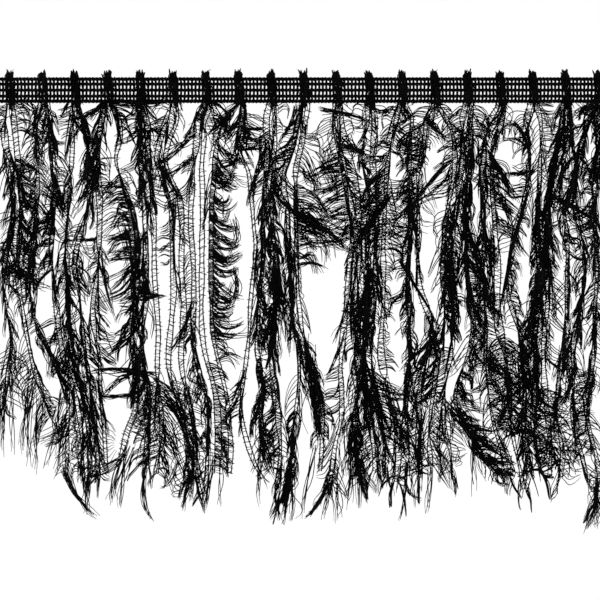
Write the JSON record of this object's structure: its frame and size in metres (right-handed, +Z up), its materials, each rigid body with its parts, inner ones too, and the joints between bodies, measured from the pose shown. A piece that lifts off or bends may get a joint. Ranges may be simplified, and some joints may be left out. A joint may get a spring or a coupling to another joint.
{
  "type": "feather fringe trim",
  "caption": "Length of black feather-look fringe: a narrow knitted mesh heading with doubled lash-yarn tassels hanging from it, each free to swing.",
  "frame": {"origin": "centre of the heading's flat back face, halfway along the trim", "axes": "+X along the heading, +Z up when the fringe hangs, +Y out of the back face that is sewn or glued on, so the front faces -Y"},
  "size_m": [0.2414, 0.0048, 0.169],
  "materials": {
    "heading_yarn": "matt spun yarn, crochet-knitted",
    "lash_yarn_core": "fine twisted core threads with a slight sheen",
    "lash_hair": "fine glossy synthetic lashes"
  },
  "bodies": {
    "heading": {"heading_net": "heading_yarn", "heading_top_chain": "heading_yarn", "heading_bottom_chain": "heading_yarn", "yarn_loop_01": "lash_yarn_core", "yarn_loop_02": "lash_yarn_core", "yarn_loop_03": "lash_yarn_core", "yarn_loop_04": "lash_yarn_core", "yarn_loop_05": "lash_yarn_core", "yarn_loop_06": "lash_yarn_core", "yarn_loop_07": "lash_yarn_core", "yarn_loop_08": "lash_yarn_core", "yarn_loop_09": "lash_yarn_core", "yarn_loop_10": "lash_yarn_core", "yarn_loop_11": "lash_yarn_core", "yarn_loop_12": "lash_yarn_core", "yarn_loop_13": "lash_yarn_core", "yarn_loop_14": "lash_yarn_core", "yarn_loop_15": "lash_yarn_core", "yarn_loop_16": "lash_yarn_core", "yarn_loop_17": "lash_yarn_core", "yarn_loop_18": "lash_yarn_core", "yarn_loop_19": "lash_yarn_core"},
    "tassel_01": {"strand_01_left": "lash_yarn_core", "strand_01_right": "lash_yarn_core"},
    "tassel_02": {"strand_02_left": "lash_yarn_core", "strand_02_right": "lash_yarn_core"},
    "tassel_03": {"strand_03_left": "lash_yarn_core", "strand_03_right": "lash_yarn_core"},
    "tassel_04": {"strand_04_left": "lash_yarn_core", "strand_04_right": "lash_yarn_core"},
    "tassel_05": {"strand_05_left": "lash_yarn_core", "strand_05_right": "lash_yarn_core"},
    "tassel_06": {"strand_06_left": "lash_yarn_core", "strand_06_right": "lash_yarn_core"},
    "tassel_07": {"strand_07_left": "lash_yarn_core", "strand_07_right": "lash_yarn_core"},
    "tassel_08": {"strand_08_left": "lash_yarn_core", "strand_08_right": "lash_yarn_core"},
    "tassel_09": {"strand_09_left": "lash_yarn_core", "strand_09_right": "lash_yarn_core"},
    "tassel_10": {"strand_10_left": "lash_yarn_core", "strand_10_right": "lash_yarn_core"},
    "tassel_11": {"strand_11_left": "lash_yarn_core", "strand_11_right": "lash_yarn_core"},
    "tassel_12": {"strand_12_left": "lash_yarn_core", "strand_12_right": "lash_yarn_core"},
    "tassel_13": {"strand_13_left": "lash_yarn_core", "strand_13_right": "lash_yarn_core"},
    "tassel_14": {"strand_14_left": "lash_yarn_core", "strand_14_right": "lash_yarn_core"},
    "tassel_15": {"strand_15_left": "lash_yarn_core", "strand_15_right": "lash_yarn_core"},
    "tassel_16": {"strand_16_left": "lash_yarn_core", "strand_16_right": "lash_yarn_core"},
    "tassel_17": {"strand_17_left": "lash_yarn_core", "strand_17_right": "lash_yarn_core"},
    "tassel_18": {"strand_18_left": "lash_yarn_core", "strand_18_right": "lash_yarn_core"},
    "tassel_19": {"strand_19_left": "lash_yarn_core", "strand_19_right": "lash_yarn_core"}
  },
  "joints": [
    {"name": "tassel_01_swing", "type": "hinge", "parent": "heading", "child": "tassel_01", "pos_m": [-0.1143, -0.0018, -0.0062], "axis": [1, 0, 0], "range_deg": [-90, 90]},
    {"name": "tassel_02_swing", "type": "hinge", "parent": "heading", "child": "tassel_02", "pos_m": [-0.1016, -0.0018, -0.0062], "axis": [1, 0, 0], "range_deg": [-90, 90]},
    {"name": "tassel_03_swing", "type": "hinge", "parent": "heading", "child": "tassel_03", "pos_m": [-0.0889, -0.0018, -0.0062], "axis": [1, 0, 0], "range_deg": [-90, 90]},
    {"name": "tassel_04_swing", "type": "hinge", "parent": "heading", "child": "tassel_04", "pos_m": [-0.0762, -0.0018, -0.0062], "axis": [1, 0, 0], "range_deg": [-90, 90]},
    {"name": "tassel_05_swing", "type": "hinge", "parent": "heading", "child": "tassel_05", "pos_m": [-0.0635, -0.0018, -0.0062], "axis": [1, 0, 0], "range_deg": [-90, 90]},
    {"name": "tassel_06_swing", "type": "hinge", "parent": "heading", "child": "tassel_06", "pos_m": [-0.0508, -0.0018, -0.0062], "axis": [1, 0, 0], "range_deg": [-90, 90]},
    {"name": "tassel_07_swing", "type": "hinge", "parent": "heading", "child": "tassel_07", "pos_m": [-0.0381, -0.0018, -0.0062], "axis": [1, 0, 0], "range_deg": [-90, 90]},
    {"name": "tassel_08_swing", "type": "hinge", "parent": "heading", "child": "tassel_08", "pos_m": [-0.0254, -0.0018, -0.0062], "axis": [1, 0, 0], "range_deg": [-90, 90]},
    {"name": "tassel_09_swing", "type": "hinge", "parent": "heading", "child": "tassel_09", "pos_m": [-0.0127, -0.0018, -0.0062], "axis": [1, 0, 0], "range_deg": [-90, 90]},
    {"name": "tassel_10_swing", "type": "hinge", "parent": "heading", "child": "tassel_10", "pos_m": [0, -0.0018, -0.0062], "axis": [1, 0, 0], "range_deg": [-90, 90]},
    {"name": "tassel_11_swing", "type": "hinge", "parent": "heading", "child": "tassel_11", "pos_m": [0.0127, -0.0018, -0.0062], "axis": [1, 0, 0], "range_deg": [-90, 90]},
    {"name": "tassel_12_swing", "type": "hinge", "parent": "heading", "child": "tassel_12", "pos_m": [0.0254, -0.0018, -0.0062], "axis": [1, 0, 0], "range_deg": [-90, 90]},
    {"name": "tassel_13_swing", "type": "hinge", "parent": "heading", "child": "tassel_13", "pos_m": [0.0381, -0.0018, -0.0062], "axis": [1, 0, 0], "range_deg": [-90, 90]},
    {"name": "tassel_14_swing", "type": "hinge", "parent": "heading", "child": "tassel_14", "pos_m": [0.0508, -0.0018, -0.0062], "axis": [1, 0, 0], "range_deg": [-90, 90]},
    {"name": "tassel_15_swing", "type": "hinge", "parent": "heading", "child": "tassel_15", "pos_m": [0.0635, -0.0018, -0.0062], "axis": [1, 0, 0], "range_deg": [-90, 90]},
    {"name": "tassel_16_swing", "type": "hinge", "parent": "heading", "child": "tassel_16", "pos_m": [0.0762, -0.0018, -0.0062], "axis": [1, 0, 0], "range_deg": [-90, 90]},
    {"name": "tassel_17_swing", "type": "hinge", "parent": "heading", "child": "tassel_17", "pos_m": [0.0889, -0.0018, -0.0062], "axis": [1, 0, 0], "range_deg": [-90, 90]},
    {"name": "tassel_18_swing", "type": "hinge", "parent": "heading", "child": "tassel_18", "pos_m": [0.1016, -0.0018, -0.0062], "axis": [1, 0, 0], "range_deg": [-90, 90]},
    {"name": "tassel_19_swing", "type": "hinge", "parent": "heading", "child": "tassel_19", "pos_m": [0.1143, -0.0018, -0.0062], "axis": [1, 0, 0], "range_deg": [-90, 90]}
  ]
}
